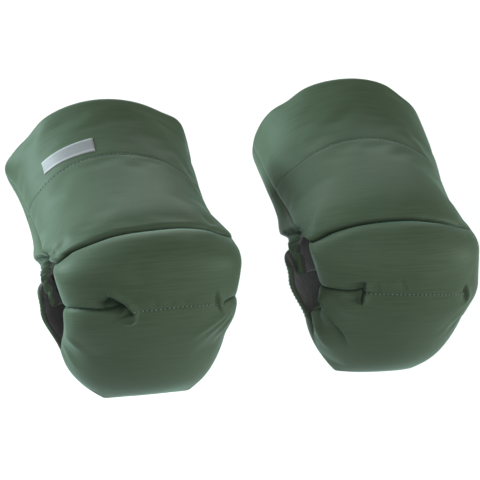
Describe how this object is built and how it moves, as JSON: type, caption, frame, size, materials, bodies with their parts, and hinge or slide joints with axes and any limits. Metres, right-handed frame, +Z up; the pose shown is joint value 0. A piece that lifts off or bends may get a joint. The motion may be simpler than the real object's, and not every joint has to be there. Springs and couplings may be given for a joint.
{
  "type": "stroller hand muff",
  "caption": "Padded, quilted hand muffs that wrap round a pushchair handle, with side slits for the bar, open wrists, fleece lining and snap-closed back flaps.",
  "frame": {"origin": "on the axis of the bar that carries the muffs, midway between the two muffs", "axes": "+X along the bar, to the right muff; +Y to the person who pushes; +Z up"},
  "size_m": [0.4362, 0.2689, 0.2608],
  "materials": {
    "shell_fabric": "satin dark green windproof polyester",
    "wadding": "white polyester wadding",
    "fleece_lining": "matt dark grey fleece",
    "elastic": "dark green covered elastic",
    "stud_metal": "gunmetal press stud",
    "label_cloth": "grey woven label, bare"
  },
  "bodies": {
    "left_muff": {"left_cap_shell": "shell_fabric", "left_cap_wadding": "wadding", "left_cap_lining": "fleece_lining", "left_front_shell": "shell_fabric", "left_front_wadding": "wadding", "left_front_lining": "fleece_lining", "left_back_shell": "shell_fabric", "left_back_wadding": "wadding", "left_back_lining": "fleece_lining", "left_lower_back_shell": "shell_fabric", "left_lower_back_wadding": "wadding", "left_lower_back_lining": "fleece_lining", "left_tip_wadding": "wadding", "left_mouth_roll": "shell_fabric", "left_slit_elastic_left": "elastic", "left_snap_left_stud": "stud_metal", "left_snap_left_post": "stud_metal", "left_slit_elastic_right": "elastic", "left_snap_right_stud": "stud_metal", "left_snap_right_post": "stud_metal", "left_label": "label_cloth"},
    "left_flap": {"left_flap_shell": "shell_fabric", "left_flap_wadding": "wadding", "left_flap_lining": "fleece_lining", "left_snap_left_cap": "stud_metal", "left_snap_left_socket": "stud_metal", "left_snap_right_cap": "stud_metal", "left_snap_right_socket": "stud_metal"},
    "right_muff": {"right_cap_shell": "shell_fabric", "right_cap_wadding": "wadding", "right_cap_lining": "fleece_lining", "right_front_shell": "shell_fabric", "right_front_wadding": "wadding", "right_front_lining": "fleece_lining", "right_back_shell": "shell_fabric", "right_back_wadding": "wadding", "right_back_lining": "fleece_lining", "right_lower_back_shell": "shell_fabric", "right_lower_back_wadding": "wadding", "right_lower_back_lining": "fleece_lining", "right_tip_wadding": "wadding", "right_mouth_roll": "shell_fabric", "right_slit_elastic_left": "elastic", "right_snap_left_stud": "stud_metal", "right_snap_left_post": "stud_metal", "right_slit_elastic_right": "elastic", "right_snap_right_stud": "stud_metal", "right_snap_right_post": "stud_metal"},
    "right_flap": {"right_flap_shell": "shell_fabric", "right_flap_wadding": "wadding", "right_flap_lining": "fleece_lining", "right_snap_left_cap": "stud_metal", "right_snap_left_socket": "stud_metal", "right_snap_right_cap": "stud_metal", "right_snap_right_socket": "stud_metal"}
  },
  "joints": [
    {"name": "left_flap_fold", "type": "hinge", "parent": "left_muff", "child": "left_flap", "pos_m": [-0.12134, 0.0387, -0.05995], "axis": [-0.9976, 0.0698, 0], "range_deg": [0, 120]},
    {"name": "right_muff_slide", "type": "slide", "parent": "left_muff", "child": "right_muff", "axis": [1, 0, 0], "range_m": [-0.04, 0.06]},
    {"name": "right_flap_fold", "type": "hinge", "parent": "right_muff", "child": "right_flap", "pos_m": [0.11463, 0.03929, -0.05995], "axis": [-0.9816, 0.1908, 0], "range_deg": [0, 120]}
  ]
}
